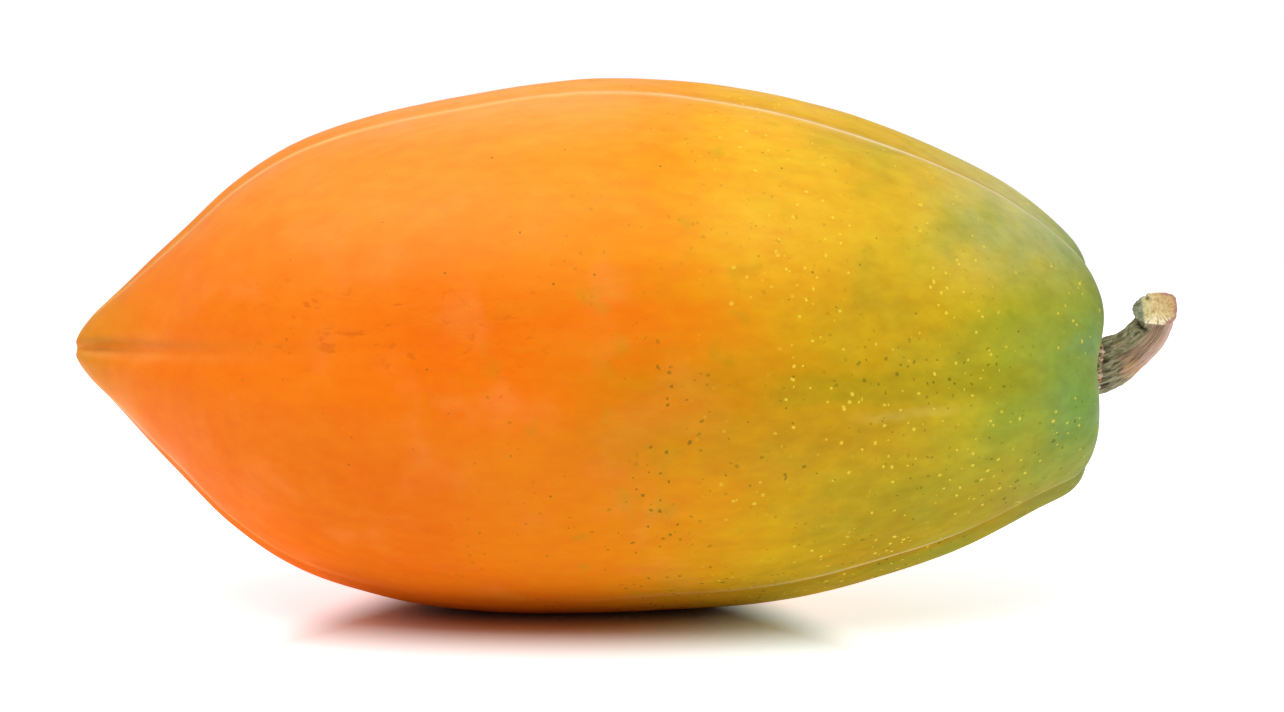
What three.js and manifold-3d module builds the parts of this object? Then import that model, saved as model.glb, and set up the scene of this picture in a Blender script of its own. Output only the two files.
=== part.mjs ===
// A ripening papaya lying on its side: the fruit, its cut stalk, and the dried calyx between them.
// Millimetres, +Z up. The blossom tip points to -X and the stalk to +X. The fruit rests on z = 0.
import * as THREE from "three";
import { mergeVertices } from "three/addons/utils/BufferGeometryUtils.js";
import Module from "manifold-3d";

const wasm = await Module();
wasm.setup();

// ---- Driving dimensions ---------------------------------------------------------------------
const FRUIT_LENGTH = 250; // blossom tip to shoulders
const FRUIT_RADIUS = 65.4; // at the widest ring
const LOBES = 5; // one lobe for each carpel, with a furrow between neighbours
const LOBE_SWELL = 0.8; // how far the middle of a lobe stands out from the round
const FURROW_TURN = THREE.MathUtils.degToRad(8); // the first furrow, turned up from the side at -Y
const FURROW_WIDTH = THREE.MathUtils.degToRad(9); // half width of a furrow's crease, about the axis
const FLAT_DEPTH = 0.8; // how much the fruit's own weight flattens its lowest skin
const SEAT_RISE = 3.5; // how far the stalk's seat stands out of the dip between the shoulders

const STALK_RADIUS = 4.9; // along its middle
const STALK_FOOT_RADIUS = 6.3; // where it leaves the fruit
const STALK_TIP_RADIUS = 4.4; // at the cut
const STALK_REACH = 14.4; // from the shoulder out to the cut, along the fruit
const STALK_RISE = 14.8; // from the shoulder up to the cut
const STALK_LEAN = 4; // from the shoulder towards -Y at the cut
const STALK_ROOT = 5; // how deep the stalk goes into the fruit
const KNUCKLE_HEIGHT = 1.5; // the swelling on the stalk's upper side, under the cut
const KNUCKLE_DROP = 0.04; // of the stalk's line, from the cut back to the knuckle
const KNUCKLE_SPREAD = 0.09; // of the stalk's line, half the length of the knuckle
const CUT_NORMAL = new THREE.Vector3(-0.08, -0.76, 0.65).normalize(); // the way that the cut face looks

const CALYX_WIDTH = 1.5; // from the stalk's foot out to the rim
const CALYX_THICKNESS = 1.6;
const CALYX_BEVEL = 0.5; // taken off its two rims
const CALYX_SCALLOP = 0.5; // how far its five teeth stand out from the ring
const CLEARANCE = 0.3; // between any two pieces

// ---- Mesh fineness --------------------------------------------------------------------------
const FRUIT_RINGS = 56;
const FRUIT_SIDES = 60;
const STALK_RINGS = 18;
const STALK_SIDES = 24;
const CALYX_SIDES = 40;

// ---- Solids ---------------------------------------------------------------------------------
// A closed three.js geometry as a solid that can be joined and cut.
function solidOf(geometry) {
  const shell = new THREE.BufferGeometry();
  shell.setAttribute("position", geometry.getAttribute("position"));
  shell.setIndex(geometry.index);
  const merged = mergeVertices(shell, 1e-4);
  const corners = merged.index.array;
  const kept = [];
  for (let i = 0; i < corners.length; i += 3) {
    const [a, b, c] = corners.slice(i, i + 3);
    if (a !== b && b !== c && c !== a) kept.push(a, b, c);
  }
  return new wasm.Manifold(
    new wasm.Mesh({
      numProp: 3,
      vertProperties: merged.attributes.position.array,
      triVerts: new Uint32Array(kept),
    }),
  );
}

function geometryOf(solid) {
  const mesh = solid.getMesh();
  const geometry = new THREE.BufferGeometry();
  geometry.setAttribute("position", new THREE.BufferAttribute(mesh.vertProperties, 3));
  geometry.setIndex(new THREE.BufferAttribute(mesh.triVerts, 1));
  geometry.computeVertexNormals();
  return geometry;
}

// Moves every vertex of a geometry to the place that move(vertex, index) gives it.
function reshape(geometry, move) {
  const places = geometry.getAttribute("position");
  const vertex = new THREE.Vector3();
  for (let i = 0; i < places.count; i += 1) {
    vertex.fromBufferAttribute(places, i);
    move(vertex, i);
    places.setXYZ(i, vertex.x, vertex.y, vertex.z);
  }
  return geometry;
}

// ---- The fruit ------------------------------------------------------------------------------
// The outline from the pit at the blossom tip to the dip between the shoulders, as shares of the
// length and of the radius.
const OUTLINE = [
  [0.007, 0],
  [0, 0.028],
  [0.012, 0.112],
  [0.051, 0.262],
  [0.1, 0.448],
  [0.155, 0.647],
  [0.22, 0.804],
  [0.315, 0.92],
  [0.41, 0.976],
  [0.51, 1],
  [0.61, 0.982],
  [0.705, 0.928],
  [0.8, 0.822],
  [0.88, 0.699],
  [0.942, 0.556],
  [0.976, 0.45],
  [0.986, 0.36],
  [0.982, 0.21],
];

// The height of the fruit's axis in millimetres at each share of the length: both ends sag.
const SPINE = [
  [0, -0.6],
  [0.13, -1.9],
  [0.32, -2.1],
  [0.51, 0],
  [0.7, -0.7],
  [0.85, -1.7],
  [0.93, -2.7],
  [1, -5.6],
];

// Furrow depth in millimetres at each share of the way along the outline.
const FURROW_DEPTHS = [
  [0, 0],
  [0.03, 0.9],
  [0.2, 1],
  [0.5, 0.8],
  [0.75, 1.2],
  [0.89, 1.8],
  [0.96, 0.4],
  [1, 0],
];

// How much further than the outline each lobe's shoulder reaches, in millimetres, lobe by lobe
// upwards from the first furrow.
const SHOULDERS = [2.2, 1, 1.4, 0.6, 0.8];
const SHOULDER_START = 0.82; // of the way along the outline, where the shoulders begin
const SHOULDER_PEAK = 0.95;

// A smooth curve through a list of [place, value] pairs.
function curveThrough(pairs) {
  const curve = new THREE.CubicInterpolant(
    pairs.map(([place]) => place),
    pairs.map(([, value]) => value),
    1,
  );
  return (place) => curve.evaluate(place)[0];
}

const spineShare = curveThrough(SPINE);
const spineHeight = (x) => spineShare(x / FRUIT_LENGTH);
const furrowDepth = curveThrough(FURROW_DEPTHS);
const lobeStep = (2 * Math.PI) / LOBES;

// How far the skin stands out from the turned outline, at an angle up from the first furrow.
// Lobes stand out and furrows go in.
function skinOffset(share, angle) {
  const gap = THREE.MathUtils.euclideanModulo(angle + lobeStep / 2, lobeStep) - lobeStep / 2;
  const lobe = Math.floor(THREE.MathUtils.euclideanModulo(angle, 2 * Math.PI) / lobeStep);
  const crease = Math.exp(-((gap / FURROW_WIDTH) ** 2));
  const swell = LOBE_SWELL * Math.sin(Math.PI * share) * -Math.cos(LOBES * gap);
  const rising = THREE.MathUtils.smoothstep(share, SHOULDER_START, SHOULDER_PEAK);
  const falling = 1 - THREE.MathUtils.smoothstep(share, SHOULDER_PEAK, 1);
  const shoulder = SHOULDERS[lobe] * rising * falling * Math.sin((LOBES * gap) / 2) ** 2;
  return swell + shoulder - furrowDepth(share) * crease;
}

// The middle of the stalk's seat, and the half way up to it where the calyx's rim lies.
const dip = OUTLINE[OUTLINE.length - 1][0] * FRUIT_LENGTH;
const seat = dip + SEAT_RISE;
const rim = new THREE.Vector3(dip + SEAT_RISE / 2, STALK_FOOT_RADIUS + CALYX_WIDTH, 0);

function fruitSkin() {
  const corners = OUTLINE.map(([x, r]) => new THREE.Vector3(x * FRUIT_LENGTH, r * FRUIT_RADIUS, 0));
  corners.push(rim, new THREE.Vector3(seat, 0, 0));
  const outline = new THREE.CatmullRomCurve3(corners, false, "centripetal").getSpacedPoints(FRUIT_RINGS);
  // A lathe turns its profile about Y, so the length goes along Y here and is laid along X below.
  const profile = outline.map((p) => new THREE.Vector2(Math.max(p.y, 0), p.x));
  profile[0].x = 0;
  profile[FRUIT_RINGS].x = 0;
  const turned = new THREE.LatheGeometry(profile, FRUIT_SIDES);
  const normals = turned.getAttribute("normal").clone();
  const normal = new THREE.Vector3();
  return reshape(turned, (v, i) => {
    const share = (i % (FRUIT_RINGS + 1)) / FRUIT_RINGS;
    const side = Math.floor(i / (FRUIT_RINGS + 1)) % FRUIT_SIDES;
    const angle = -(side / FRUIT_SIDES) * 2 * Math.PI;
    normal.fromBufferAttribute(normals, i);
    v.addScaledVector(normal, skinOffset(share, angle - FURROW_TURN));
    const radius = share === 0 || share === 1 ? 0 : Math.hypot(v.x, v.z);
    v.set(v.y, -radius * Math.cos(angle), spineHeight(v.y) + radius * Math.sin(angle));
  });
}

// ---- The stalk ------------------------------------------------------------------------------
const stalkFoot = new THREE.Vector3(seat, 0, spineHeight(seat));

// The stalk's middle line, from its root in the fruit to past the cut.
const stalkLine = new THREE.CatmullRomCurve3(
  [
    [-STALK_ROOT, 0, 0],
    [0, 0, 0],
    [0.33 * STALK_REACH, 0, 0.15 * STALK_RISE],
    [0.66 * STALK_REACH, 0.2 * STALK_LEAN, 0.38 * STALK_RISE],
    [0.9 * STALK_REACH, 0.55 * STALK_LEAN, 0.67 * STALK_RISE],
    [STALK_REACH, STALK_LEAN, STALK_RISE],
    [1.08 * STALK_REACH, 2 * STALK_LEAN, 1.45 * STALK_RISE],
  ].map(([out, lean, rise]) => stalkFoot.clone().add(new THREE.Vector3(out, -lean, rise))),
);
const STALK_CUT_PLACE = 0.8; // of the middle line, where it meets the cut plane

// The foot narrows into the stalk between these two places on the line.
const FOOT_END = 0.2;
const NECK_START = 0.5;

function stalkRadius(place) {
  const narrowed = THREE.MathUtils.smoothstep(place, FOOT_END, NECK_START);
  const tapered = THREE.MathUtils.smoothstep(place, NECK_START, STALK_CUT_PLACE);
  const neck = THREE.MathUtils.lerp(STALK_FOOT_RADIUS, STALK_RADIUS, narrowed);
  return THREE.MathUtils.lerp(neck, STALK_TIP_RADIUS, tapered);
}

// A straight cylinder bent along the stalk's line. Grown by the clearance, it also cuts the socket.
function stalkTube(grow) {
  const tube = new THREE.CylinderGeometry(1, 1, 1, STALK_SIDES, STALK_RINGS);
  const frames = stalkLine.computeFrenetFrames(STALK_RINGS);
  return reshape(tube, (v) => {
    const ring = Math.round((v.y + 0.5) * STALK_RINGS);
    const place = ring / STALK_RINGS;
    const centre = stalkLine.getPointAt(place);
    if (ring === 0) centre.addScaledVector(frames.tangents[ring], -grow);
    const upward = new THREE.Vector3().crossVectors(frames.tangents[ring], new THREE.Vector3(0, 1, 0));
    const across = new THREE.Vector3().crossVectors(frames.tangents[ring], upward.normalize());
    const fromKnuckle = (place - STALK_CUT_PLACE + KNUCKLE_DROP) / KNUCKLE_SPREAD;
    const onTop = Math.max(0, v.z) * Math.exp(-(fromKnuckle ** 2));
    const radius = stalkRadius(place) + grow + KNUCKLE_HEIGHT * onTop ** 3;
    const [acrossBy, upBy] = [v.x * radius, v.z * radius];
    v.copy(centre).addScaledVector(across, acrossBy).addScaledVector(upward, upBy);
  });
}

// A slab that covers all that lies past the cut.
function cutTool() {
  const size = 3 * (STALK_REACH + STALK_RISE);
  const slab = new THREE.BoxGeometry(size, size, size);
  const turn = new THREE.Quaternion().setFromUnitVectors(new THREE.Vector3(0, 0, 1), CUT_NORMAL);
  const middle = stalkLine.getPointAt(STALK_CUT_PLACE).addScaledVector(CUT_NORMAL, size / 2);
  return slab.applyQuaternion(turn).translate(middle.x, middle.y, middle.z);
}

// ---- The calyx ------------------------------------------------------------------------------
// The stalk passes through its middle.
const calyxPlace = (STALK_ROOT + CALYX_THICKNESS / 2) / stalkLine.getLength();
const calyxMiddle = stalkLine.getPointAt(calyxPlace);

// A scalloped disc on the stalk's foot. Grown by the clearance, it also cuts its seat in the fruit.
function calyxDisc(grow) {
  const half = CALYX_THICKNESS / 2 + grow;
  const outer = STALK_FOOT_RADIUS + CALYX_WIDTH + grow;
  const profile = [
    [0, -half],
    [outer - CALYX_BEVEL, -half],
    [outer, 0],
    [outer - CALYX_BEVEL, half],
    [0, half],
  ].map(([r, height]) => new THREE.Vector2(r, height));
  return reshape(new THREE.LatheGeometry(profile, CALYX_SIDES), (v) => {
    const angle = Math.atan2(v.z, v.x);
    const radius = Math.hypot(v.x, v.z);
    const toothed = radius > 0 ? radius + CALYX_SCALLOP * Math.cos(LOBES * angle) : 0;
    const height = calyxMiddle.z + toothed * Math.sin(angle);
    v.set(calyxMiddle.x + v.y, -toothed * Math.cos(angle), height);
  });
}

// ---- Assembly -------------------------------------------------------------------------------
function piece(name, solid, colour, roughness) {
  const material = new THREE.MeshStandardMaterial({ color: colour, roughness, metalness: 0 });
  const mesh = new THREE.Mesh(geometryOf(solid), material);
  mesh.name = name;
  return mesh;
}

const stalk = solidOf(stalkTube(0)).subtract(solidOf(cutTool()));
const calyx = solidOf(calyxDisc(0)).subtract(solidOf(stalkTube(CLEARANCE)));
const whole = solidOf(fruitSkin());
const lowest = new THREE.Box3().setFromObject(new THREE.Mesh(geometryOf(whole))).min.z;
const table = new THREE.BoxGeometry(2 * FRUIT_LENGTH, 2 * FRUIT_LENGTH, FRUIT_RADIUS);
table.translate(FRUIT_LENGTH / 2, 0, lowest + FLAT_DEPTH - FRUIT_RADIUS / 2);
const fruit = whole
  .subtract(solidOf(table))
  .subtract(solidOf(stalkTube(CLEARANCE)))
  .subtract(solidOf(calyxDisc(CLEARANCE)));

const papaya = new THREE.Group();
papaya.add(piece("fruit", fruit, 0xe8862a, 0.4));
papaya.add(piece("stalk", stalk, 0x9a7b5c, 0.85));
papaya.add(piece("calyx", calyx, 0xb98257, 0.9));

// The origin is under the middle of the whole object, on the plane that it rests on.
const bounds = new THREE.Box3().setFromObject(papaya);
const middle = bounds.getCenter(new THREE.Vector3());
papaya.children.forEach((mesh) => mesh.geometry.translate(-middle.x, -middle.y, -bounds.min.z));

export default papaya;
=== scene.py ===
"""A ripening papaya on its side on a white table: the lobed fruit, its cut stalk and its calyx.

Metres, +Z up, +X from the blossom tip to the stalk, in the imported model's frame.
"""

import math

import bpy
import numpy as np
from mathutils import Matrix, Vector, noise


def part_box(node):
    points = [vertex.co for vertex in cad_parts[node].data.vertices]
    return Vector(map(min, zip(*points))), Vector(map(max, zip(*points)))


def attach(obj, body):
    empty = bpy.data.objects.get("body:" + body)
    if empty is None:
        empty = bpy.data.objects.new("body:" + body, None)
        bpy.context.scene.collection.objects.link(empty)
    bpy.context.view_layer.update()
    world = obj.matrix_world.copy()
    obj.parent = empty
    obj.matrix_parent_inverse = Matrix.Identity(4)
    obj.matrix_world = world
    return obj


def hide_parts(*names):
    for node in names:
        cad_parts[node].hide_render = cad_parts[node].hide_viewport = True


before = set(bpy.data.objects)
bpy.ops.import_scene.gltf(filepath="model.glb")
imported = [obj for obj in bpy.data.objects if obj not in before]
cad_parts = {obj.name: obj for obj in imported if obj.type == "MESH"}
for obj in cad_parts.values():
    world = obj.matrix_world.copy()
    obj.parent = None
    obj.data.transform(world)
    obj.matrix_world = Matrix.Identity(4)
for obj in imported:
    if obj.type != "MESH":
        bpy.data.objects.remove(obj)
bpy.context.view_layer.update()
fruit_low, fruit_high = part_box("fruit")

MM = 0.001

# ---- Driving dimensions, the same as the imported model's ------------------------------------------
FRUIT_LENGTH = 250 * MM
FRUIT_RADIUS = 65.4 * MM
LOBES = 5
LOBE_SWELL = 0.8 * MM
FURROW_TURN = math.radians(8)
FURROW_WIDTH = math.radians(9)
SEAT_RISE = 3.5 * MM

# The outline from the pit at the blossom tip to the dip between the shoulders, in shares of the
# length and the radius.
OUTLINE = [
    (0.007, 0), (0, 0.028), (0.012, 0.112), (0.051, 0.262), (0.1, 0.448), (0.155, 0.647),
    (0.22, 0.804), (0.315, 0.92), (0.41, 0.976), (0.51, 1), (0.61, 0.982), (0.705, 0.928),
    (0.8, 0.822), (0.88, 0.699), (0.942, 0.556), (0.976, 0.45), (0.986, 0.36), (0.982, 0.21),
]
# Height of the fruit's axis in millimetres at shares of the length.
SPINE = [
    (0, -0.6), (0.13, -1.9), (0.32, -2.1), (0.51, 0), (0.7, -0.7), (0.85, -1.7), (0.93, -2.7),
    (1, -5.6),
]
# Furrow depth in millimetres at shares of the way along the outline.
FURROW_DEPTHS = [
    (0, 0), (0.03, 0.9), (0.2, 1), (0.5, 0.8), (0.75, 1.2), (0.89, 1.8), (0.96, 0.4), (1, 0),
]
# How much further than the outline each lobe's shoulder reaches, in millimetres, lobe by lobe
# upwards from the first furrow.
SHOULDERS = np.array([2.2, 1, 1.4, 0.6, 0.8])
SHOULDER_START = 0.82
SHOULDER_PEAK = 0.95

STALK_RADIUS = 4.9 * MM
STALK_FOOT_RADIUS = 6.3 * MM
STALK_TIP_RADIUS = 4.4 * MM
STALK_REACH = 14.4 * MM
STALK_RISE = 14.8 * MM
STALK_LEAN = 4 * MM
STALK_ROOT = 5 * MM
# Places on the stalk are shares of the way along its line, which runs on past the cut.
FOOT_END = 0.2
NECK_START = 0.5
KNUCKLE_HEIGHT = 1.5 * MM
KNUCKLE_DROP = 0.04
KNUCKLE_SPREAD = 0.09
CUT_PLACE = 0.8
SQUARED = 0.3 * MM
CUT_NORMAL = np.array([-0.08, -0.76, 0.65]) / np.linalg.norm([-0.08, -0.76, 0.65])

CALYX_WIDTH = 1.5 * MM
CALYX_THICKNESS = 1.6 * MM
CALYX_TILT = 0.08
CALYX_OVERLAP = 0.8 * MM  # how far the ring reaches into the stalk's foot

dip = OUTLINE[-1][0] * FRUIT_LENGTH
seat = dip + SEAT_RISE

# ---- Mesh fineness -------------------------------------------------------------------------------
SKIN_RINGS = 340
SKIN_SIDES = 360
SIDES_TO_FURROWS = 0.11  # how strongly the skin's sides crowd towards the furrows
CURVE_STEPS = 60
STALK_RINGS = 170
STALK_SIDES = 200
STALK_STEPS = 400
CUT_RINGS = 34
CALYX_SIDES = 260
CALYX_LOOPS = 30


# ---- Curves --------------------------------------------------------------------------------------
def smoothstep(value, low, high):
    share = np.clip((value - low) / (high - low), 0, 1)
    return share * share * (3 - 2 * share)


def hermite(share, start, rise, low, high):
    """The cubic that starts at start, rises by rise, and has slopes low and high at its ends."""
    square, cube = 3 * rise - 2 * low - high, low + high - 2 * rise
    return start + share * low + share**2 * square + share**3 * cube


def curve_through(pairs, place):
    """A smooth curve through (place, value) pairs, level at both ends, read at many places."""
    at, value = np.array(pairs, float).T
    slope = np.diff(value) / np.diff(at)
    tangent = np.concatenate([[0], (slope[1:] + slope[:-1]) / 2, [0]])
    span = np.clip(np.searchsorted(at, place, side="right") - 1, 0, len(at) - 2)
    step = at[span + 1] - at[span]
    share = np.clip((place - at[span]) / step, 0, 1)
    rise = value[span + 1] - value[span]
    return hermite(share, value[span], rise, tangent[span] * step, tangent[span + 1] * step)


def smooth_line(points, count):
    """count points, evenly spaced, on the centripetal Catmull-Rom curve through points."""
    points = np.array(points, float)
    padded = np.vstack([2 * points[0] - points[1], points, 2 * points[-1] - points[-2]])
    share = np.linspace(0, 1, CURVE_STEPS, endpoint=False)[:, None]
    pieces = []
    for a, b, c, d in zip(padded, padded[1:], padded[2:], padded[3:]):
        ab, bc, cd = (math.sqrt(np.linalg.norm(q - p)) for p, q in ((a, b), (b, c), (c, d)))
        low = ((b - a) / ab - (c - a) / (ab + bc) + (c - b) / bc) * bc
        high = ((c - b) / bc - (d - b) / (bc + cd) + (d - c) / cd) * bc
        pieces.append(hermite(share, b, c - b, low, high))
    line = np.vstack(pieces + [points[-1:]])
    length = np.concatenate([[0], np.cumsum(np.linalg.norm(np.diff(line, axis=0), axis=1))])
    even = np.linspace(0, length[-1], count)
    return np.stack([np.interp(even, length, column) for column in line.T], 1)


def field(points, size, octaves=2):
    """Smooth noise from -1 to 1 at each point, with features of the given size in metres."""
    flat = points.reshape(-1, 3) / size
    basis = "PERLIN_ORIGINAL"
    made = [noise.fractal(Vector(p), 1.0, 2.0, octaves, noise_basis=basis) for p in flat]
    return np.array(made).reshape(points.shape[:-1])


def ring_field(angle, place, across, along, octaves=2):
    """Smooth noise round an axis, finer round it and along it the larger across and along are."""
    around = [np.cos(angle) * across, np.sin(angle) * across]
    return field(np.stack([*around, place * along], -1), 1.0, octaves)


# ---- Meshes --------------------------------------------------------------------------------------
def make_piece(name, vertices, faces, material, smooth=True):
    mesh = bpy.data.meshes.new(name)
    mesh.from_pydata([tuple(v) for v in vertices], [], faces)
    mesh.polygons.foreach_set("use_smooth", [smooth] * len(mesh.polygons))
    mesh.materials.append(material)
    mesh.update()
    piece = bpy.data.objects.new(name, mesh)
    bpy.context.scene.collection.objects.link(piece)
    return piece


def tube_faces(rings, sides):
    """Quads between rings of vertices that are numbered ring by ring."""
    faces = []
    for ring in range(rings - 1):
        low = ring * sides
        high = low + sides
        for side in range(sides):
            after = (side + 1) % sides
            faces.append((low + side, low + after, high + after, high + side))
    return faces


def fan_faces(centre, first, sides, forward):
    pairs = [(first + side, first + (side + 1) % sides) for side in range(sides)]
    return [(centre, a, b) if forward else (centre, b, a) for a, b in pairs]


def write_values(piece, name, values):
    """Stores one number for each vertex, which a material reads by its name."""
    layer = piece.data.attributes.new(name, "FLOAT", "POINT")
    layer.data.foreach_set("value", np.asarray(values, np.float32).ravel())


def write_colours(piece, name, colours):
    """Stores one linear colour for each vertex, which a material reads by its name."""
    layer = piece.data.attributes.new(name, "FLOAT_COLOR", "POINT")
    opaque = np.concatenate([colours, np.ones((len(colours), 1))], 1)
    layer.data.foreach_set("color", opaque.astype(np.float32).ravel())


def blend(share, low, high):
    """The colour that goes from low to high as share goes from 0 to 1."""
    share = np.clip(share, 0, 1)[..., None]
    return low + (high - low) * share


# ---- Shader nodes --------------------------------------------------------------------------------
def linear(red, green, blue):
    """A display colour from 0 to 255 as the linear colour that a shader takes."""
    shares = [channel / 255 for channel in (red, green, blue)]
    return [s / 12.92 if s <= 0.04045 else ((s + 0.055) / 1.055) ** 2.4 for s in shares] + [1]


class Nodes:
    """Shader nodes, built by short calls. Arguments are numbers, colours or nodes' outputs."""

    def __init__(self, tree):
        self.tree = tree

    def node(self, kind, inputs, output, **settings):
        made = self.tree.nodes.new(kind)
        for key, value in settings.items():
            setattr(made, key, value)
        for key, value in inputs.items():
            if isinstance(value, bpy.types.NodeSocket):
                self.tree.links.new(value, made.inputs[key])
            else:
                made.inputs[key].default_value = value
        return made.outputs[output]

    def math(self, operation, a, b=0.0):
        return self.node("ShaderNodeMath", {0: a, 1: b}, 0, operation=operation)

    def add(self, a, b):
        return self.math("ADD", a, b)

    def times(self, a, b):
        return self.math("MULTIPLY", a, b)

    def step(self, value, low, high, to_low=0.0, to_high=1.0):
        """Eases from to_low to to_high as value goes from low to high, and holds outside."""
        inputs = {0: value, 1: low, 2: high, 3: to_low, 4: to_high}
        return self.node("ShaderNodeMapRange", inputs, 0, interpolation_type="SMOOTHSTEP")


class Shader(Nodes):
    """One material."""

    def __init__(self, name, **surface):
        self.material = bpy.data.materials.new(name)
        self.material.use_nodes = True
        super().__init__(self.material.node_tree)
        self.surface = self.tree.nodes["Principled BSDF"]
        for socket, value in surface.items():
            self.surface.inputs[socket.replace("_", " ")].default_value = value
        self.place = self.tree.nodes.new("ShaderNodeTexCoord").outputs["Object"]

    def part(self, axis):
        """The place on the piece along one axis, in metres."""
        return self.node("ShaderNodeSeparateXYZ", {0: self.place}, axis)

    def fall(self, value, low, high):
        """Eases from 1 to 0 as value goes from low to high."""
        return self.step(value, low, high, 1.0, 0.0)

    def band(self, value, low, high, soft):
        """1 between low and high, easing to 0 over soft on both sides."""
        return self.times(self.step(value, low - soft, low), self.fall(value, high, high + soft))

    def stretched(self, squeeze):
        """The place on the piece, squeezed along X, which draws features out along the fruit."""
        inputs = {"Vector": self.place, "Scale": (squeeze, 1, 1)}
        return self.node("ShaderNodeMapping", inputs, 0)

    def noise(self, size, detail=3.0, roughness=0.55, warp=0.0, at=None):
        """Noise from 0 to 1, with features of the given size in metres."""
        inputs = {"Vector": at or self.place, "Scale": 1 / size, "Detail": detail,
                  "Roughness": roughness, "Distortion": warp}
        return self.node("ShaderNodeTexNoise", inputs, 0)

    def cells(self, size, output="Distance", at=None):
        inputs = {"Vector": at or self.place, "Scale": 1 / size}
        return self.node("ShaderNodeTexVoronoi", inputs, output)

    def dots(self, size, small, large, at=None):
        """Round dots in cells of the given size, with radii from small to large shares of it."""
        spread = self.times(self.cells(size, "Color", at), large - small)
        inside = self.add(self.cells(size, "Distance", at), self.times(spread, -1.0))
        return self.fall(inside, small * 0.6, small * 1.4)

    def shaken(self, size, reach):
        """The place on the piece, moved about within reach, over features of the given size."""
        inputs = {"Vector": self.place, "Scale": 1 / size, "Detail": 1.0}
        moved = self.node("ShaderNodeTexNoise", inputs, "Color")
        inputs = {0: moved, 1: (reach, reach, reach), 2: self.place}
        return self.node("ShaderNodeVectorMath", inputs, 0, operation="MULTIPLY_ADD")

    def attribute(self, name, output="Fac"):
        return self.node("ShaderNodeAttribute", {}, output, attribute_name=name)

    def mix(self, share, a, b, mode="MIX"):
        made = self.tree.nodes.new("ShaderNodeMix")
        made.data_type = "RGBA"
        made.blend_type = mode
        for key, value in (("Factor", share), ("A", a), ("B", b)):
            socket = next(s for s in made.inputs if s.name == key and s.enabled)
            if isinstance(value, bpy.types.NodeSocket):
                self.tree.links.new(value, socket)
            else:
                socket.default_value = value
        return next(s for s in made.outputs if s.enabled)

    def ramp(self, value, stops):
        """The colour at value among stops of (place, display colour)."""
        made = self.tree.nodes.new("ShaderNodeValToRGB")
        elements = made.color_ramp.elements
        for index, (place, colour) in enumerate(stops):
            element = elements[index] if index < 2 else elements.new(place)
            element.position = place
            element.color = linear(*colour)
        self.tree.links.new(value, made.inputs[0])
        return made.outputs[0]

    def finish(self, colour, height, depth, roughness=None):
        """Links the colour, a fine relief that is depth metres deep, and optionally a roughness."""
        bump = self.node("ShaderNodeBump", {"Height": height, "Distance": depth}, 0)
        for socket, value in (("Base Color", colour), ("Normal", bump), ("Roughness", roughness)):
            if value is not None:
                self.tree.links.new(value, self.surface.inputs[socket])
        return self.material


# ---- The fruit's skin ----------------------------------------------------------------------------
LUMPS = [(45 * MM, 0.45 * MM), (16 * MM, 0.1 * MM)]  # (size, height)
CREASE_WIDTH = 2.1 * MM
# Half-widths of each furrow's pale rim of wax and painted highlight, and of its painted shade line.
LINE_WIDTHS = np.array([1.2, 2.4, 1.5, 1.5, 1.6]) * MM
FLAT_ROUND = 0.12 * MM  # how softly the pressed flat's edge bends

# Depth in millimetres of each furrow's fine crease, furrow by furrow upwards from the first.
CREASES = [
    [(0, 0), (0.03, 1), (0.1, 0.7), (0.2, 0.25), (0.34, 0), (1, 0)],
    [(0, 0), (0.03, 0.2), (0.1, 0.3), (0.2, 0.45), (0.45, 0.35), (0.6, 0.55), (0.8, 0.75),
     (0.9, 0.65), (1, 0)],
    [(0, 0), (0.03, 0.7), (0.1, 0.6), (0.3, 0.2), (0.5, 0.3), (0.7, 0.5), (0.82, 0.7), (0.92, 0.4),
     (1, 0)],
    [(0, 0), (0.03, 0.7), (0.1, 0.6), (0.3, 0.2), (0.5, 0.2), (0.7, 0.4), (0.82, 0.7), (0.92, 0.4),
     (1, 0)],
    [(0, 0), (0.03, 0.7), (0.1, 0.5), (0.3, 0.1), (0.5, 0.1), (0.66, 0.5), (0.82, 0.9),
     (0.92, 0.5), (1, 0)],
]
# How far up the skin from the furrow's middle its crease lies, in millimetres.
CREASE_PLACES = [
    [(0, 0), (1, 0)],
    [(0, 3.5), (0.45, 3.3), (0.62, -0.4), (0.72, -3), (0.85, -3.6), (1, -3)],
    [(0, 2), (1, 2)],
    [(0, 2), (1, 2)],
    [(0, -4), (0.3, -4.5), (0.5, -2), (0.66, 0.4), (1, 0.4)],
]
# How far up from the crease its pale rim (wax and painted highlight) and its dark line (painted
# shade) lie, in millimetres, and how pale the rim is.
PALE_AT = np.array([-1.1, -2.6, 3, 3, 2.8])
SHADE_AT = np.array([1.9, 0.6, -0.5, -0.5, -0.8])
PALENESS = np.array([0.2, 2, 0.6, 0.6, 1])
# Between the shoulders the first furrow is shallow, and partly filled, in millimetres.
SHALLOW = np.array([0.25, 1, 1, 1, 1])
SHALLOW_FROM, SHALLOW_TO = 0.74, 0.86
VALLEY_FILL = np.array([0.5, 0, 0, 0, 0])

# Display colours of the skin as it goes from ripe to unripe.
RIPENING = [
    (0, (240, 134, 32)), (0.14, (238, 116, 18)), (0.34, (238, 120, 12)), (0.52, (234, 128, 12)),
    (0.62, (226, 142, 14)), (0.7, (212, 154, 18)), (0.78, (202, 164, 26)), (0.87, (186, 170, 36)),
    (0.94, (156, 164, 52)), (1, (122, 156, 64)),
]
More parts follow.
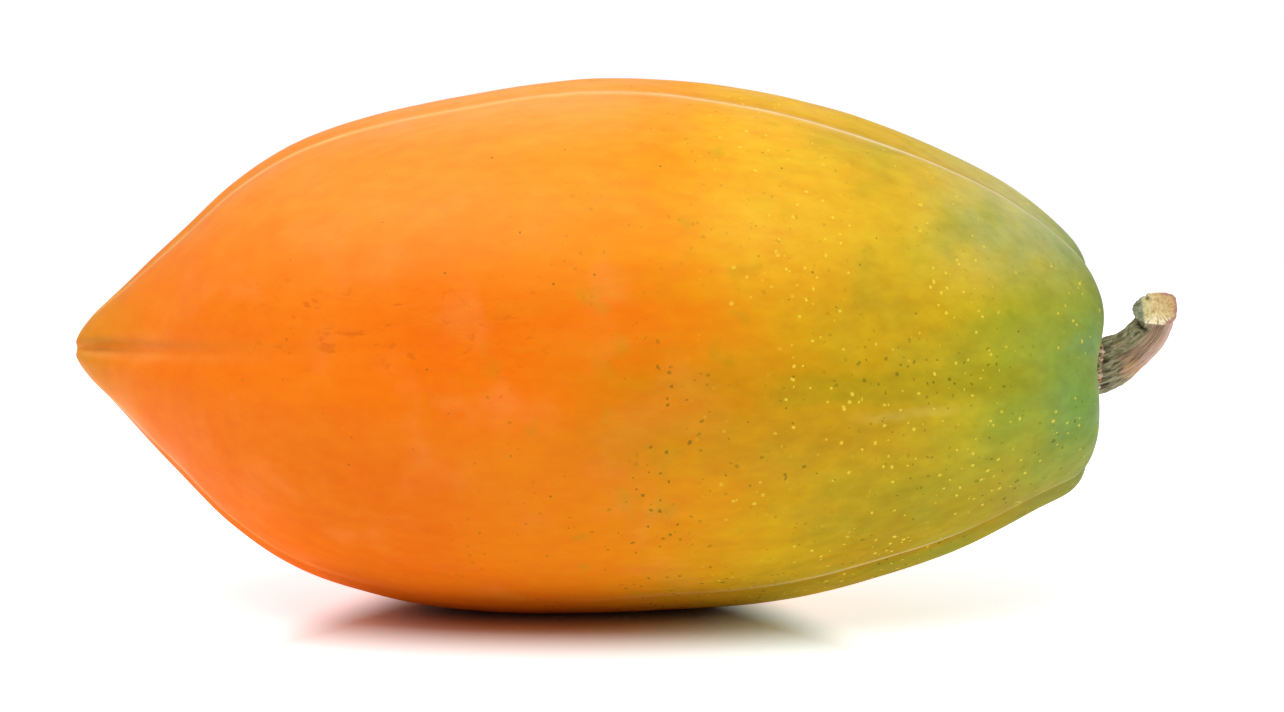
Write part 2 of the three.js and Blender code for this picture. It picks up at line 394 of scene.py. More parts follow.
# Display colours at shares of the length: painted light on the yellower upper side, and the
# furrows' rims of wax and painted highlight.
UPPER_PAINTED_LIGHT = [(0.36, (255, 172, 72)), (0.56, (255, 174, 34))]
RIM_WAX_AND_HIGHLIGHT = [(0.45, (252, 200, 120)), (0.8, (236, 222, 178))]
GREYS = [(0.3, (84, 84, 84)), (0.7, (255, 255, 255))]
UPPER_PAINTED_LIGHT_STRENGTH = 0.4
RIM_WAX_AND_HIGHLIGHT_STRENGTH = 0.8
STREAK_STRENGTH = 0.06

# What tints the skin: how strongly each covers what lies under it, and its display colour.
TINTS = {
    # Painted highlight along the top.
    "top_highlight": (0.15, (255, 206, 140)),
    # Painted light: the upper side towards the stalk, lighter and yellower.
    "golden_painted_light": (0.4, (236, 196, 52)),
    # Painted shade on the underside at both ends.
    "shaded_low_left": (0.42, (220, 100, 0)),
    "shaded_low_right": (0.6, (150, 112, 6)),
    "red": (0.6, (240, 104, 8)),
    "blush": (0.4, (236, 100, 12)),
    "pale": (0.22, (252, 150, 78)),
    "tip": (0.55, (206, 140, 34)),
    "green": (0.55, (122, 146, 44)),
    "halo": (0.22, (160, 150, 30)),
    "bloom": (0.55, (124, 154, 104)),
    # Waxy bloom and painted sheen on the upper shoulders.
    "sheen_veil": (0.55, (190, 198, 150)),
    # Painted shade along the bottoms of the furrows.
    "furrow_shade": (0.45, (176, 112, 16)),
    # Painted shade below the middle of the side and on the first furrow's upper wall, and a painted
    # light streak on its lower wall.
    "mid_side_shade": (0.4, (190, 126, 6)),
    "olive_shade": (0.45, (156, 142, 22)),
    "lit_streak": (0.15, (226, 200, 112)),
    "lenticel": (0.65, (244, 216, 70)),
    "speck": (0.62, (88, 88, 22)),
    "stray": (0.6, (110, 88, 30)),
    # Painted shade in the wrinkles' folds.
    "wrinkle_shade": (0.4, (200, 88, 14)),
}
SKIN_RELIEF = 0.35 * MM


def spine_height(x):
    return curve_through(SPINE, x / FRUIT_LENGTH) * MM


def furrow_gap(angle):
    """The angle from the nearest furrow and its number, at an angle up from the first furrow."""
    step = 2 * math.pi / LOBES
    number = np.floor((angle + step / 2) / step).astype(int)
    return angle - number * step, number % LOBES


def by_furrow(tables, share, angle):
    """What the nearest furrow's own table gives at a share of the way along the outline."""
    values = [curve_through(pairs, share) + 0 * angle for pairs in tables]
    return np.choose(furrow_gap(angle)[1], values)


def skin_offset(share, radius, angle):
    """How far the skin stands out from the turned outline at an angle up from the first furrow."""
    gap, number = furrow_gap(angle)
    lobe = ((angle % (2 * math.pi)) // (2 * math.pi / LOBES)).astype(int)
    shallow = 1 + (SHALLOW[number] - 1) * smoothstep(share, SHALLOW_FROM, SHALLOW_TO)
    furrow = np.exp(-((gap / FURROW_WIDTH) ** 2)) * shallow
    from_crease = gap * radius - by_furrow(CREASE_PLACES, share, angle) * MM
    crease = np.exp(-((from_crease / CREASE_WIDTH) ** 2)) * by_furrow(CREASES, share, angle)
    swell = LOBE_SWELL * np.sin(np.pi * share) * -np.cos(LOBES * gap)
    rising = smoothstep(share, SHOULDER_START, SHOULDER_PEAK)
    falling = 1 - smoothstep(share, SHOULDER_PEAK, 1)
    filled = VALLEY_FILL[number] * np.cos(LOBES * gap / 2) ** 2
    shoulder = rising * falling * (SHOULDERS[lobe] * np.sin(LOBES * gap / 2) ** 2 + filled)
    return swell + (shoulder - crease - curve_through(FURROW_DEPTHS, share) * furrow) * MM


def skin_shape():
    """The skin's vertices ring by ring, before the move to the frame, and its furrow lines of wax,
    painted highlight and painted shade.
    """
    corners = [(x * FRUIT_LENGTH, r * FRUIT_RADIUS) for x, r in OUTLINE]
    corners += [(dip + SEAT_RISE / 2, STALK_FOOT_RADIUS + CALYX_WIDTH), (seat, 0)]
    outline = smooth_line(corners, SKIN_RINGS)
    along = np.gradient(outline, axis=0)
    along /= np.linalg.norm(along, axis=1)[:, None]
    share = np.linspace(0, 1, SKIN_RINGS)[:, None]
    even = np.arange(SKIN_SIDES)[None, :] / SKIN_SIDES * 2 * math.pi
    turned = even - SIDES_TO_FURROWS * np.sin(LOBES * even)
    angle = turned + FURROW_TURN
    out = skin_offset(share, outline[:, 1:], turned + 0 * share)
    # The lumps are read at the places that the first pass gives.
    for pass_number in range(2):
        x = outline[:, :1] - along[:, 1:] * out
        radius = np.maximum(outline[:, 1:] + along[:, :1] * out, 0)
        radius[[0, -1]] = 0
        points = np.stack([x, -radius * np.cos(angle), spine_height(x) + radius * np.sin(angle)], 2)
        if pass_number == 0:
            fade = np.sin(np.pi * share) ** 0.5
            for size, height in LUMPS:
                out = out + field(points, size) * height * fade
    turned = turned + 0 * share
    gap, number = furrow_gap(turned)
    from_crease = gap * outline[:, 1:] - by_furrow(CREASE_PLACES, share, turned) * MM

    def line(middles):
        shape = np.exp(-(((from_crease - middles[number] * MM) / LINE_WIDTHS[number]) ** 2))
        return shape * by_furrow(CREASES, share, turned)

    # The pale rims are wax and a painted highlight; the dark lines are painted shade.
    return points, line(PALE_AT) * PALENESS[number], line(SHADE_AT)


class Skin(Shader):
    """The skin. Its tints are placed by the share of the length and the height up the side."""

    def __init__(self):
        super().__init__("papaya_skin", Roughness=0.4, Specular_IOR_Level=0.06)
        middle = (fruit_low.z + fruit_high.z) / 2
        self.share = self.times(self.add(self.part("X"), -fruit_low.x), 1 / FRUIT_LENGTH)
        self.upward = self.times(self.add(self.part("Z"), -middle), 1 / FRUIT_RADIUS)
        self.small_clouds = self.add(self.noise(17 * MM, 3.0), -0.5)
        self.streaks = self.noise(7 * MM, 3.0, at=self.stretched(0.16))
        self.folds = self.noise(2.4 * MM, 3.0, 0.6, warp=0.4, at=self.stretched(0.55))
        wrinkled = self.band(self.upward, 0.1, 0.28, 0.12)
        self.wrinkled = self.times(self.along(0.24, 0.42, 0.09), wrinkled)
        self.colour = None

    def above(self, low, high):
        return self.step(self.upward, low, high)

    def below(self, low, high):
        return self.fall(self.upward, low, high)

    def before(self, low, high):
        """Towards the tip."""
        return self.fall(self.share, low, high)

    def after(self, low, high):
        """Towards the stalk."""
        return self.step(self.share, low, high)

    def along(self, low, high, soft):
        return self.band(self.share, low, high, soft)

    def cover(self, strength, tone, *masks, mode="MIX"):
        """Covers the colour so far with a tone, as strongly as strength times every mask."""
        for mask in masks:
            strength = self.times(mask, strength)
        self.colour = self.mix(strength, self.colour, tone, mode)

    def tint(self, name, *masks):
        strength, colour = TINTS[name]
        self.cover(strength, linear(*colour), *masks)

    def ripen(self):
        """Ripening runs from the tip to the stalk, a little ahead on top, and in clouds."""
        clouds = self.add(self.noise(62 * MM, 2.5), -0.5)
        unripe = self.add(self.share, self.times(self.upward, -0.03))
        unripe = self.add(unripe, self.times(clouds, 0.24))
        unripe = self.add(unripe, self.times(self.small_clouds, 0.08))
        self.colour = self.ramp(unripe, RIPENING)

    def shade_sides(self):
        """Painted light and highlight on the yellower upper side, and painted shade deeper
        underneath.
        """
        # Painted light: the upper side is lighter and yellower, as if lit from above.
        glow = self.ramp(self.share, UPPER_PAINTED_LIGHT)
        self.cover(UPPER_PAINTED_LIGHT_STRENGTH, glow, self.above(0.1, 0.75), self.before(0.68, 0.86))
        # Painted highlight: a pale band along the top of the fruit.
        self.tint("top_highlight", self.above(0.72, 0.97), self.along(0.16, 0.5, 0.14))
        # Painted light on the upper side towards the stalk.
        self.tint("golden_painted_light", self.above(0.15, 0.55), self.along(0.66, 0.9, 0.1))
        # Painted shade: the underside is deeper and darker at both ends.
        self.tint("shaded_low_left", self.below(-0.6, 0.1), self.before(0.25, 0.45))
        self.tint("shaded_low_right", self.below(-0.6, -0.1), self.after(0.64, 0.8))

    def redden(self):
        """Redder in the middle of the side, paler in patches, and yellowish round the tip."""
        side = self.band(self.upward, 0.0, 0.22, 0.3)
        self.tint("red", self.along(0.36, 0.54, 0.16), side, self.step(self.streaks, 0.3, 0.62))
        blush = self.step(self.noise(30 * MM, 3.0, warp=0.3), 0.46, 0.7)
        self.tint("blush", blush, self.before(0.45, 0.62), self.below(0.2, 0.5))
        pale = self.step(self.noise(19 * MM, 3.0, warp=0.3), 0.5, 0.72)
        self.tint("pale", pale, self.before(0.5, 0.75))
        uneven = self.add(self.share, self.times(self.small_clouds, 0.06))
        self.tint("tip", self.fall(uneven, 0.015, 0.085))

    def add_green(self):
        """Soft green clouds that have not turned yet, a waxy bloom round the stalk, and a pale veil
        of bloom and painted sheen on the upper shoulders.
        """
        self.tint("green", self.step(self.noise(26 * MM, 3.0), 0.42, 0.74), self.after(0.5, 0.92))
        halo = self.fall(self.cells(15 * MM, at=self.shaken(7 * MM, 14 * MM)), 0.06, 0.3)
        self.tint("halo", halo, self.along(0.45, 0.8, 0.1))
        bloom = self.step(self.noise(15 * MM, 3.0), 0.48, 0.68, 0.25, 1.0)
        self.tint("bloom", bloom, self.after(0.9, 0.985))
        # Painted sheen: a pale veil on the upper side of the shoulders, partly waxy bloom.
        sheen_veil = self.step(self.noise(11 * MM, 3.0), 0.3, 0.55, 0.5, 1.0)
        self.tint("sheen_veil", sheen_veil, self.above(0.2, 0.55), self.after(0.78, 0.95))

    def draw_furrows(self):
        """Pale rims of wax and painted highlight, painted shade in the bottoms, and the first
        furrow's shallow end.
        """
        broken = self.step(self.noise(8 * MM, 3.0), 0.28, 0.55, 0.7, 1.0)
        # Painted highlight: the furrows' pale rims are waxy bloom and a painted highlight along their
        # lit edge.
        rim = self.ramp(self.share, RIM_WAX_AND_HIGHLIGHT)
        self.cover(RIM_WAX_AND_HIGHLIGHT_STRENGTH, rim, self.attribute("rim_wax_and_highlight"), broken)
        # Painted shade: a darker line along the bottom of each furrow.
        self.tint("furrow_shade", self.attribute("furrow_shade"))
        wavy = self.add(self.upward, self.times(self.small_clouds, 0.1))
        # Painted shade: a deeper band just below the middle of the side.
        self.tint("mid_side_shade", self.band(wavy, -0.2, -0.02, 0.2), self.along(0.56, 0.74, 0.12))
        # Painted shade on the upper wall of the first furrow, which faces down.
        self.tint("olive_shade", self.band(wavy, -0.06, 0.0, 0.05), self.along(0.72, 0.88, 0.08))
        # Painted light: a pale streak on the first furrow's lower wall, which faces up.
        thin = self.band(wavy, -0.135, -0.125, 0.025)
        self.tint("lit_streak", thin, self.along(0.78, 0.82, 0.05), broken)

    def mottle(self):
        """Fine mottling over the whole skin, drawn out along the fruit."""
        grains = self.noise(3.2 * MM, 4.0, 0.6, at=self.stretched(0.5))
        strength = self.step(self.share, 0.4, 0.7, 0.08, 0.12)
        self.cover(strength, self.ramp(grains, GREYS), mode="OVERLAY")
        self.cover(STREAK_STRENGTH, self.ramp(self.streaks, GREYS), mode="OVERLAY")

    def mark(self):
        """Pale lenticels near the stalk, dark specks in loose clusters, strays, and painted shade in
        the wrinkles' folds.
        """
        lenticels = self.dots(2.7 * MM, 0.06, 0.21, self.shaken(1.4 * MM, 0.9 * MM))
        clusters = self.step(self.noise(22 * MM, 2.0), 0.4, 0.54)
        self.tint("lenticel", lenticels, clusters, self.along(0.66, 0.97, 0.08))
        specks = self.dots(2.4 * MM, 0.05, 0.24, self.shaken(1.1 * MM, 1.1 * MM))
        clusters = self.step(self.noise(24 * MM, 2.5, warp=0.3), 0.44, 0.57)
        fewer_above = self.step(self.upward, -0.05, 0.25, 1.0, 0.3)
        self.tint("speck", specks, clusters, fewer_above, self.after(0.3, 0.55))
        self.tint("stray", self.dots(5 * MM, 0.015, 0.07), self.after(0.1, 0.3))
        # Painted shade: darker colour in the low folds of the wrinkles.
        self.tint("wrinkle_shade", self.fall(self.folds, 0.3, 0.42), self.wrinkled)


def skin_material():
    skin = Skin()
    skin.ripen()
    skin.shade_sides()
    skin.redden()
    skin.add_green()
    skin.draw_furrows()
    skin.mottle()
    skin.mark()
    grain = skin.times(skin.noise(1.6 * MM, 3.0), 0.1)
    relief = skin.add(grain, skin.times(skin.folds, skin.wrinkled))
    rough = skin.step(skin.noise(9 * MM, 3.0), 0.3, 0.7, 0.36, 0.5)
    # The underside is rougher.
    rough = skin.add(rough, skin.step(skin.upward, -0.8, -0.2, 0.4, 0.0))
    return skin.finish(skin.colour, relief, SKIN_RELIEF, rough)


def make_fruit():
    points, rim_wax_and_highlight, furrow_shade = skin_shape()
    flat = points.reshape(-1, 3)
    move = np.array([fruit_low.x - flat[:, 0].min(), 0, fruit_high.z - flat[:, 2].max()])
    rings = flat[SKIN_SIDES:-SKIN_SIDES] + move
    # The lowest skin is pressed flat on the table.
    rings[:, 2] = np.logaddexp(0, rings[:, 2] / FLAT_ROUND) * FLAT_ROUND
    tip, centre = flat[0] + move, flat[-1] + move
    count = len(rings)
    faces = tube_faces(SKIN_RINGS - 2, SKIN_SIDES)
    faces += fan_faces(count, 0, SKIN_SIDES, forward=False)
    faces += fan_faces(count + 1, count - SKIN_SIDES, SKIN_SIDES, forward=True)
    piece = make_piece("fruit_skin", np.vstack([rings, tip, centre]), faces, skin_material())
    # The furrows' painted highlight and painted shade, for the skin's material.
    for name, values in (("rim_wax_and_highlight", rim_wax_and_highlight), ("furrow_shade", furrow_shade)):
        write_values(piece, name, np.concatenate([values[1:-1].ravel(), [0, 0]]))
    return piece, move


fruit, move = make_fruit()
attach(fruit, "root")
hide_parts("fruit")


# ---- The stalk -----------------------------------------------------------------------------------
stalk_foot = np.array([seat, 0, spine_height(np.array([seat]))[0]]) + move
FIBRE_DEPTH = 0.24 * MM
STRAND_DEPTH = 0.14 * MM
CRACK_DEPTH = 0.28 * MM
UPPER_LIP = 0.5 * MM
LOWER_LIP = 0.35 * MM
GROOVE_DEPTH = 0.9 * MM
CUT_RELIEF = 0.25 * MM
CUT_RAYS = 0.3 * MM
CUT_HOLLOW = 0.45 * MM
CUT_RADIUS = STALK_TIP_RADIUS * 1.1
# Display colours of the stalk's bark, its cut wood and the calyx, and of the painted shade in their
# cracks and hollows.
TONES = {
    "brown": (128, 103, 84),
    "light_brown": (176, 145, 120),
    "pink": (222, 186, 172),
    "tan": (190, 148, 96),
    "grey_green": (102, 102, 72),
    "light_grey": (156, 152, 118),
    "fleck": (196, 192, 164),
    # Painted shade in the bark's cracks, its pits and the groove under the cut's lip.
    "crevice_shade": (48, 42, 28),
    "wood": (202, 176, 120),
    "light_wood": (230, 212, 160),
    "pith": (198, 154, 104),
    "left_wood": (206, 202, 146),
    "cream": (246, 234, 200),
    "fibre": (142, 118, 74),
    "grain": (160, 116, 66),
    "spot": (96, 84, 60),
    "rim_bark": (96, 100, 76),
    "light_rim_bark": (160, 162, 132),
    "rim_edge": (176, 132, 116),
    "husk": (214, 154, 112),
    "light_husk": (240, 212, 188),
    "moss": (144, 142, 106),
    # Painted shade in the calyx's hollows.
    "husk_hollow_shade": (84, 62, 42),
}
TONES = {name: np.array(linear(*colour)[:3]) for name, colour in TONES.items()}
# The stalk's line from its root to past its cut: along X, towards the camera, and up.
STALK_LINE = [
    (-STALK_ROOT, 0, 0),
    (0, 0, 0),
    (0.33 * STALK_REACH, 0, 0.15 * STALK_RISE),
    (0.66 * STALK_REACH, 0.2 * STALK_LEAN, 0.38 * STALK_RISE),
    (0.9 * STALK_REACH, 0.55 * STALK_LEAN, 0.67 * STALK_RISE),
    (STALK_REACH, STALK_LEAN, STALK_RISE),
    (1.08 * STALK_REACH, 2 * STALK_LEAN, 1.45 * STALK_RISE),
]
stalk_corners = [stalk_foot + np.array([x, -y, z]) for x, y, z in STALK_LINE]
stalk_line = smooth_line(stalk_corners, STALK_STEPS)


def on_stalk(place, angle, radius):
    """Points at places along the stalk's line, at angles from its side at -Y over its top."""
    at = np.linspace(0, 1, len(stalk_line))
    centre = np.stack([np.interp(place, at, column) for column in stalk_line.T], -1)
    slopes = np.gradient(stalk_line, axis=0)
    along = np.stack([np.interp(place, at, column) for column in slopes.T], -1)
    along /= np.linalg.norm(along, axis=-1, keepdims=True)
    up = np.cross(along, [0, 1, 0])
    up /= np.linalg.norm(up, axis=-1, keepdims=True)
    side = np.cross(along, up)
    out = side * np.cos(angle)[..., None] + up * np.sin(angle)[..., None]
    return centre + out * radius[..., None]


def stalk_radius(place, angle):
    narrowing = smoothstep(place, FOOT_END, NECK_START)
    neck = STALK_FOOT_RADIUS + (STALK_RADIUS - STALK_FOOT_RADIUS) * narrowing
    neck = neck + (STALK_TIP_RADIUS - neck) * smoothstep(place, NECK_START, CUT_PLACE)
    near_cut = np.exp(-(((place - CUT_PLACE + KNUCKLE_DROP) / KNUCKLE_SPREAD) ** 2))
    corners = SQUARED * np.cos(4 * angle - math.pi) * smoothstep(place, NECK_START, CUT_PLACE)
    return neck + corners + KNUCKLE_HEIGHT * (np.maximum(0, np.sin(angle)) * near_cut) ** 3


def painted(name, roughness, specular, grain_size, grain_depth):
    """A material that takes its colours from the vertices, with a fine grain."""
    made = Shader(name, Roughness=roughness, Specular_IOR_Level=specular)
    return made.finish(made.attribute("tone", "Color"), made.noise(grain_size, 3.0), grain_depth)


def bark_colour(place, angle, fibres, crack, under):
    """Grey-green on top and at the foot, brown along the side, pink underneath, painted shade in
    cracks, pits and the lip's groove.
    """
    patches = ring_field(angle, place, 3, 4.5, 3)
    long = ring_field(angle, place, 12, 6)
    colour = blend(0.5 + 1.1 * long, TONES["brown"], TONES["light_brown"])
    low = smoothstep(-np.sin(angle) + 0.3 * patches, 0.35, 0.85)
    colour = blend(0.75 * low, colour, TONES["pink"])
    tan = smoothstep(1 - np.abs(place - 0.34) / 0.14, 0, 0.6)
    tan = tan * smoothstep(-np.sin(angle), -0.1, 0.4)
    colour = blend(tan * (0.5 + 1.2 * long), colour, TONES["tan"])
    top = smoothstep(np.sin(angle) + 0.5 * patches, 0.1, 0.6)
    foot = 1 - smoothstep(place + 0.08 * patches, 0.26, 0.4)
    grey = blend(0.5 + long, TONES["grey_green"], TONES["light_grey"])
    colour = blend(np.maximum(0.85 * top, 0.85 * foot), colour, grey)
    pits = smoothstep(-patches, 0.1, 0.35) * smoothstep(0.34 - place, 0, 0.1)
    flecks = smoothstep(ring_field(angle, place, 12, 16), 0.25, 0.45)
    colour = blend(0.4 * flecks * np.maximum(foot, top), colour, TONES["fleck"])
    # Painted shade: the cracks, the pits near the foot and the groove under the cut's upper lip are
    # darkened.
    dark = np.clip(0.25 * crack * np.maximum(foot, top) + 0.6 * pits + under, 0, 1)
    return blend(dark, colour, TONES["crevice_shade"])


def cut_colour(across, upward, rim, rays):
    """Cream wood, orange pith at the upper right, fibres at the lower rim, bark at the left."""
    spots = field(np.stack([across * 4, upward * 4, 0 * rim], -1), 1.0, 3)
    grain = field(np.stack([across * 9, upward * 9, 0 * rim + 5], -1), 1.0, 2)
    colour = blend(0.5 + 0.9 * spots, TONES["wood"], TONES["light_wood"])
    pith = smoothstep(across * 0.8 + upward * 0.5 + 0.9 * spots, 0.1, 0.7)
    colour = blend(0.75 * pith, colour, TONES["pith"])
    left = smoothstep(-across + 0.3 * spots, 0.25, 0.5)
    colour = blend(0.7 * left, colour, TONES["left_wood"])
    lower = smoothstep(-upward + 0.2 * spots, 0.25, 0.6)
    colour = blend(0.8 * lower, colour, TONES["cream"])
    colour = blend(lower * smoothstep(rays, 0.18, 0.4), colour, TONES["fibre"])
    colour = blend(smoothstep(grain, 0.2, 0.5) * 0.5, colour, TONES["grain"])
    spot = np.exp(-(((across + 0.45) ** 2 + (upward - 0.45) ** 2) / 0.012))
    colour = blend(spot, colour, TONES["spot"])
    bark = blend(0.5 + spots, TONES["rim_bark"], TONES["light_rim_bark"])
    colour = blend(smoothstep(-across + 0.2 * spots, 0.62, 0.8), colour, bark)
    edge = smoothstep(rim + 0.1 * spots, 0.8, 0.96)
    return blend(edge * smoothstep(across, 0.0, 0.5), colour, TONES["rim_edge"])


def cut_places(angle):
    """Where each side of the stalk meets the plane of the cut."""
    tries = np.linspace(0.5, 1, 300)[:, None] + 0 * angle
    probe = on_stalk(tries, angle + 0 * tries, stalk_radius(tries, angle))
    cut_middle = stalk_line[int(CUT_PLACE * (len(stalk_line) - 1))]
    past = (probe - cut_middle) @ CUT_NORMAL > 0
    return tries[past.argmax(0), 0]


def stalk_tube(angle):
    """The bark's points and colours ring by ring, and where the cut's colours lap over its lip."""
    share = np.linspace(0, 1, STALK_RINGS)[:, None]
    place = share * cut_places(angle)
    angle = angle + 0 * place
    # Long fibres, cracks between them, and a groove under the lip of the cut.
    twist = angle + 0.5 * place
    fibres = ring_field(twist, place, 7, 12, 3)
    strands = ring_field(twist, place, 17, 8)
    near_foot = 1 - smoothstep(place, 0.3, 0.45)
    rough = 0.4 + 0.6 * np.maximum(near_foot, smoothstep(np.sin(angle), 0.2, 0.7))
    crack = smoothstep(-fibres, 0.16, 0.4) * rough
    radius = stalk_radius(place, angle)
    radius = radius + FIBRE_DEPTH * fibres * rough + STRAND_DEPTH * strands - CRACK_DEPTH * crack
    lip = np.exp(-(((share - 0.985) / 0.022) ** 2))
    under = np.exp(-(((share - 0.9) / 0.035) ** 2))
    upper = smoothstep(np.sin(angle), 0.1, 0.6) * smoothstep(np.cos(angle), -0.6, 0.1)
    lower = smoothstep(-np.sin(angle), -0.4, 0.3) * smoothstep(np.cos(angle), -0.5, 0.1)
    radius = radius + upper * (UPPER_LIP * lip - GROOVE_DEPTH * under) + LOWER_LIP * lower * lip
    # The groove under the lip is also darkened in the bark's colour, as painted shade.
    bark = bark_colour(place, angle, fibres, crack, upper * under * 0.9)
    return on_stalk(place, angle, radius), bark, smoothstep(share, 0.985, 0.998) * lower


def cut_face(rim, angle):
    """The cut's points and colours, ring by ring inwards, and the colours of its rim."""
    centre = rim.mean(0)
    inward = np.linspace(0, 1, CUT_RINGS + 1)[1:-1, None]
    face = rim + (centre - rim) * inward[..., None]
    rays = ring_field(angle, 0 * angle, 9, 1)
    relief = field(face, 1.2 * MM, 3) * CUT_RELIEF + rays * CUT_RAYS * (1 - inward)
    relief = relief - CUT_HOLLOW * smoothstep(inward, 0.15, 0.8)
    face = face + CUT_NORMAL * (relief * smoothstep(inward, 0, 0.12))[..., None]
    across, upward = ((face - centre) / CUT_RADIUS)[..., [0, 2]].transpose(2, 0, 1)
    wood = cut_colour(across, upward, 1 - inward + 0 * across, rays + 0 * across)
    rim_places = ((rim - centre) / CUT_RADIUS)[:, [0, 2]].T
    return face, wood, cut_colour(*rim_places, np.ones(STALK_SIDES), rays)


def make_stalk():
    angle = np.arange(STALK_SIDES) / STALK_SIDES * 2 * math.pi
    tube, bark, lapped = stalk_tube(angle)
    face, wood, wood_rim = cut_face(tube[-1], angle)
    bark = blend(lapped, bark, wood_rim)

    def joined(along, over):
        """The tube's rows, the cut's rows, and a last one for the middle of each end."""
        middles = [along[0].mean(0), over[-1].mean(0)]
        return np.vstack([along.reshape(-1, 3), over.reshape(-1, 3), *middles])

    rings = STALK_RINGS + CUT_RINGS - 1
    count = rings * STALK_SIDES
    faces = tube_faces(rings, STALK_SIDES)
    faces += fan_faces(count, 0, STALK_SIDES, forward=False)
    faces += fan_faces(count + 1, count - STALK_SIDES, STALK_SIDES, forward=True)
    surface = painted("stalk_bark", 0.85, 0.15, 0.7 * MM, 0.05 * MM)
    piece = make_piece("cut_stalk", joined(tube, face), faces, surface)
    write_colours(piece, "tone", joined(bark, wood))
    return piece


stalk = make_stalk()
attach(stalk, "root")
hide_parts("stalk")


# ---- The calyx -----------------------------------------------------------------------------------
def make_calyx():
    """A ragged ring round the stalk's foot, with dried flakes of the five sepals standing on it."""
    angle = np.arange(CALYX_SIDES) / CALYX_SIDES * 2 * math.pi
    turn = np.arange(CALYX_LOOPS)[:, None] / CALYX_LOOPS * 2 * math.pi
    middle = stalk_foot + np.array([-0.2 * MM, 0, 0.3 * MM])
    ragged = ring_field(angle, 0 * angle, 4, 1, 3)
    torn = ring_field(angle, 0 * angle + 3, 11, 1)
    inner = STALK_FOOT_RADIUS - CALYX_OVERLAP
    width = 0.85 + 0.2 * np.cos(LOBES * angle) + 0.45 * ragged + 0.35 * torn
    outer = STALK_FOOT_RADIUS + CALYX_WIDTH * width
    radius = (outer + inner) / 2 + (outer - inner) / 2 * np.cos(turn)
    thick = CALYX_THICKNESS * (0.55 + 0.3 * ragged + 0.25 * torn)
    x = middle[0] + thick * np.sin(turn) + CALYX_TILT * radius * np.sin(angle)
    y = middle[1] - radius * np.cos(angle)
    z = middle[2] + radius * np.sin(angle)
    points = np.stack([x, y, z], -1)
    lumps = field(points, 1.1 * MM, 3)
    points = points + np.array([1, 0.4, 0.4]) * (lumps * 0.35 * MM)[..., None]
    faces = []
    for a, b, c, d in tube_faces(CALYX_LOOPS + 1, CALYX_SIDES):
        faces.append([number % (CALYX_LOOPS * CALYX_SIDES) for number in (a, d, c, b)])
    surface = painted("dried_calyx", 0.9, 0.12, 0.6 * MM, 0.06 * MM)
    piece = make_piece("calyx_ring", points.reshape(-1, 3), faces, surface)

    flakes = field(points + 9 * MM, 1.6 * MM, 2)
    colour = blend(0.5 + 1.6 * flakes, TONES["husk"], TONES["light_husk"])
    mossy = smoothstep(field(points, 2.4 * MM, 2), -0.05, 0.25)
    colour = blend(0.75 * mossy, colour, TONES["moss"])
    # Painted shade: darker where the ring's lumps sink into hollows.
    colour = blend(0.8 * smoothstep(-lumps, 0.08, 0.3), colour, TONES["husk_hollow_shade"])
    write_colours(piece, "tone", colour.reshape(-1, 3))
    return piece


calyx = make_calyx()
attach(calyx, "root")
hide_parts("calyx")


# ---- Studio --------------------------------------------------------------------------------------
ROOM_DIM = 0.06
ROOM_BRIGHT = 0.6
ROOM_DIM_FROM = -0.1
ROOM_BRIGHT_FROM = 1.0
SOFTBOX_SIZE = (0.9, 0.7)
SOFTBOX_PLACE = (-0.12, -0.45, 0.9)
SOFTBOX_AIM = (0, 0, 0.05)
SOFTBOX_POWER = 9

TABLE_HALF = 0.75
TABLE_WHITE = (0.9, 0.9, 0.9, 1)
# The table glows in front, outside an oval round the place where the fruit rests, and past the
# fruit's ends. The blue in front offsets the orange light that bounces off the fruit.
OVAL_SQUEEZE = 0.6
OVAL_FROM, OVAL_TO = 20 * MM, 80 * MM
ENDS_FROM, ENDS_TO = 36 * MM, 62 * MM
ENDS_SLANT = 0.4
REST_BACK = 6 * MM
FRONT_GLOW = 0.45
FRONT_TINT = (0.55, 0.92, 1, 1)
END_GLOW = 0.68
END_TINT = (0.95, 0.95, 1, 1)

CAMERA_ELEVATION = math.radians(8)
CAMERA_DISTANCE = 0.872
CAMERA_LENS = 100
CAMERA_SENSOR = 36
CAMERA_AIM = Vector((fruit_low.x + 138.1 * MM, 0, 62.6 * MM))


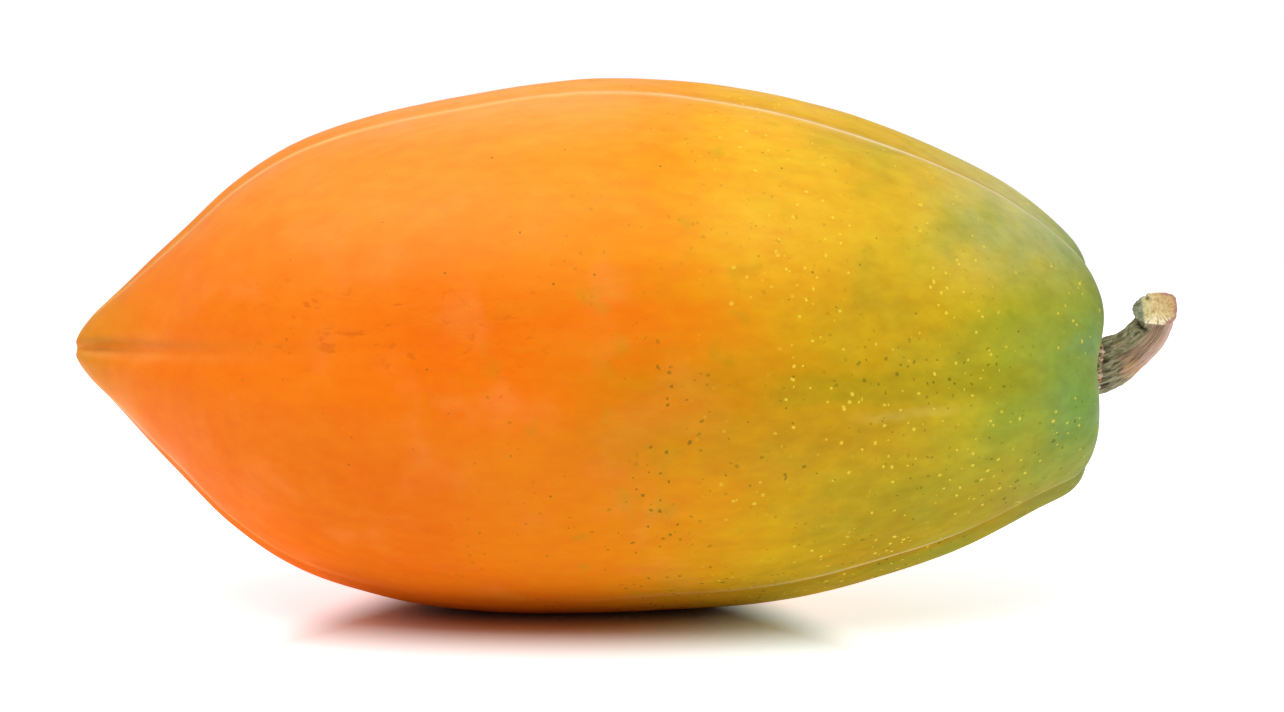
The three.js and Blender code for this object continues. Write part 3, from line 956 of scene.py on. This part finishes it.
def make_floor():
    """A white table that glows, except round the place where the fruit rests."""
    corners = [(x * TABLE_HALF, y * TABLE_HALF, 0) for x, y in ((-1, -1), (1, -1), (1, 1), (-1, 1))]
    white = Shader("white_table", Base_Color=TABLE_WHITE, Roughness=0.6, Specular_IOR_Level=0.2)
    rest = (fruit_low.x + fruit_high.x) / 2 - REST_BACK
    y = white.part("Y")
    along = white.math("ABSOLUTE", white.add(white.part("X"), -rest))
    squares = [white.math("POWER", side, 2.0) for side in (white.times(along, OVAL_SQUEEZE), y)]
    oval = white.math("SQRT", white.add(*squares))
    in_front = white.step(oval, OVAL_FROM, OVAL_TO, 0.0, FRONT_GLOW)
    past_ends = white.step(white.add(along, white.times(y, ENDS_SLANT)), ENDS_FROM, ENDS_TO)
    glow = white.math("MAXIMUM", in_front, white.times(past_ends, END_GLOW))
    tint = white.mix(past_ends, FRONT_TINT, END_TINT)
    for socket, value in (("Emission Strength", glow), ("Emission Color", tint)):
        white.tree.links.new(value, white.surface.inputs[socket])
    return make_piece("table_top", corners, [(0, 1, 2, 3)], white.material, smooth=False)


def make_world():
    """A backdrop that is white to the camera, and lights like a room bright above and behind."""
    world = bpy.data.worlds.new("studio")
    world.use_nodes = True
    room = Nodes(world.node_tree)
    background = world.node_tree.nodes["Background"]
    direction = room.node("ShaderNodeTexCoord", {}, "Generated")
    height, behind = (room.node("ShaderNodeSeparateXYZ", {0: direction}, axis) for axis in "ZY")
    towards = room.add(height, room.times(behind, 0.7))
    glow = room.step(towards, ROOM_DIM_FROM, ROOM_BRIGHT_FROM, ROOM_DIM, ROOM_BRIGHT)
    seen = room.node("ShaderNodeLightPath", {}, "Is Camera Ray")
    strength = room.add(room.times(glow, room.add(1.0, room.times(seen, -1.0))), seen)
    world.node_tree.links.new(strength, background.inputs["Strength"])
    background.inputs["Color"].default_value = (1, 1, 1, 1)
    bpy.context.scene.world = world


def make_softbox(name, size, place, aim, power):
    light = bpy.data.lights.new(name, "AREA")
    light.shape = "RECTANGLE"
    light.size, light.size_y = size
    light.energy = power
    box = bpy.data.objects.new(name, light)
    box.location = place
    box.rotation_mode = "QUATERNION"
    box.rotation_quaternion = (Vector(aim) - Vector(place)).to_track_quat("-Z", "Y")
    bpy.context.scene.collection.objects.link(box)


def make_camera():
    """A little above the fruit, and far enough back for a long lens."""
    camera = bpy.data.objects.new("camera", bpy.data.cameras.new("camera"))
    camera.data.lens = CAMERA_LENS
    camera.data.sensor_width = CAMERA_SENSOR
    back = Vector((0, -math.cos(CAMERA_ELEVATION), math.sin(CAMERA_ELEVATION)))
    camera.location = CAMERA_AIM + back * CAMERA_DISTANCE
    camera.rotation_mode = "QUATERNION"
    camera.rotation_quaternion = (-back).to_track_quat("-Z", "Y")
    bpy.context.scene.collection.objects.link(camera)
    bpy.context.scene.camera = camera


make_floor()
make_world()
make_softbox("softbox", SOFTBOX_SIZE, SOFTBOX_PLACE, SOFTBOX_AIM, SOFTBOX_POWER)
make_camera()
bpy.context.scene.view_settings.view_transform = "Standard"
